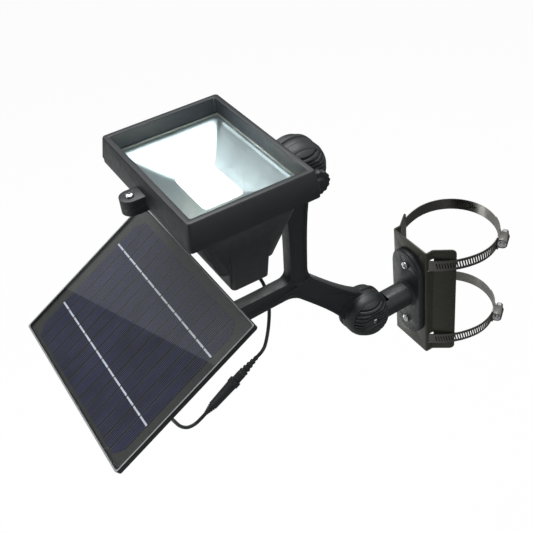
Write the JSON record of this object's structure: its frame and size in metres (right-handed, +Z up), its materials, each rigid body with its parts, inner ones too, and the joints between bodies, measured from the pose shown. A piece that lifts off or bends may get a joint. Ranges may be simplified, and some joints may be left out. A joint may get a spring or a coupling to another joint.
{
  "type": "solar flagpole light",
  "caption": "Solar-charged floodlight that clamps to a flagpole: a Y-shaped arm carries the lamp and its panel on ribbed tilting knuckles.",
  "frame": {"origin": "on the pole's axis, midway between the two bands, at mid-height of the pole bracket", "axes": "+Z up along the pole; -Y outward from the pole, towards the light and its panel; +X to the right, seen from in front with the pole behind"},
  "size_m": [0.2114, 0.4958, 0.3666],
  "materials": {
    "bracket_paint": "satin dark bronze coating",
    "band_steel": "rolled stainless strip, slightly glossy",
    "screw_steel": "bright zinc-plated steel",
    "body_plastic": "moulded charcoal plastic with a fine grain",
    "friction_rubber": "matt",
    "lamp_glass": "clear toughened glass",
    "reflector_chrome": "polished, vacuum-coated",
    "white_board": "white solder mask",
    "led_phosphor": "phosphor-filled resin",
    "heat_aluminium": "plain extruded",
    "cell_wrap": "shrink wrap on steel cells",
    "green_board": "green solder mask",
    "backsheet": "laminated sheet, grey-brown",
    "silicon": "dark amorphous silicon",
    "busbar_silver": "thin printed silver",
    "panel_glass": "clear cover glass",
    "cable_jacket": "satin black jacket"
  },
  "bodies": {
    "mount": {"pole_bracket": "bracket_paint", "upper_band": "band_steel", "lower_band": "band_steel", "upper_worm_housing": "band_steel", "lower_worm_housing": "band_steel", "base_flange": "body_plastic", "base_screws": "screw_steel", "base_nuts": "screw_steel", "base_knuckle_bolt": "screw_steel"},
    "upper_screw": {"upper_worm_screw": "screw_steel"},
    "lower_screw": {"lower_worm_screw": "screw_steel"},
    "arm": {"arm_shell": "body_plastic", "arm_back_cover": "body_plastic", "arm_cover_screws": "screw_steel", "friction_discs": "friction_rubber", "knuckle_nuts": "screw_steel", "lamp_lead": "cable_jacket", "cable_plug": "body_plastic", "cable_socket": "body_plastic", "panel_lead": "cable_jacket"},
    "lamp": {"rear_housing": "body_plastic", "lamp_gasket": "friction_rubber", "bezel_hinge_pins": "screw_steel", "reflector": "reflector_chrome", "led_board": "white_board", "led_chips": "led_phosphor", "heat_plate": "heat_aluminium", "heat_plate_screws": "screw_steel", "battery_holder": "body_plastic", "battery_cells": "cell_wrap", "control_board": "green_board", "lamp_gland": "body_plastic"},
    "knob": {"lamp_knob": "body_plastic", "lamp_knuckle_bolt": "screw_steel"},
    "bezel": {"lamp_bezel": "body_plastic", "lamp_glass": "lamp_glass", "bezel_screw": "screw_steel"},
    "panel": {"panel_tray": "body_plastic", "panel_backsheet": "backsheet", "solar_cells": "silicon", "busbars": "busbar_silver", "panel_glass": "panel_glass", "junction_box": "body_plastic", "junction_box_screws": "screw_steel", "panel_flange": "body_plastic", "panel_flange_screws": "screw_steel", "panel_knuckle_bolt": "screw_steel", "panel_gland": "body_plastic"}
  },
  "joints": [
    {"name": "arm_tilt", "type": "hinge", "parent": "mount", "child": "arm", "pos_m": [0, -0.11855, 0.0042], "axis": [1, 0, 0], "range_deg": [-20, 60]},
    {"name": "lamp_tilt", "type": "hinge", "parent": "arm", "child": "lamp", "pos_m": [0, -0.18084, 0.22944], "axis": [1, 0, 0], "range_deg": [-45, 5], "deforming": ["lamp_lead"]},
    {"name": "panel_tilt", "type": "hinge", "parent": "arm", "child": "panel", "pos_m": [0, -0.33634, 0.08894], "axis": [1, 0, 0], "range_deg": [0, 45], "deforming": ["panel_lead"]},
    {"name": "bezel_hinge", "type": "hinge", "parent": "lamp", "child": "bezel", "pos_m": [0, -0.20612, 0.26542], "axis": [1, 0, 0], "range_deg": [-90, 0]},
    {"name": "knob_turn", "type": "hinge", "parent": "lamp", "child": "knob", "pos_m": [0, -0.18084, 0.22944], "axis": [1, 0, 0], "continuous": true},
    {"name": "upper_screw_turn", "type": "hinge", "parent": "mount", "child": "upper_screw", "pos_m": [0.04555, 0.03309, 0.056], "axis": [-0.5878, 0.809, 0], "continuous": true},
    {"name": "lower_screw_turn", "type": "hinge", "parent": "mount", "child": "lower_screw", "pos_m": [0.04555, 0.03309, -0.056], "axis": [-0.5878, 0.809, 0], "continuous": true}
  ]
}
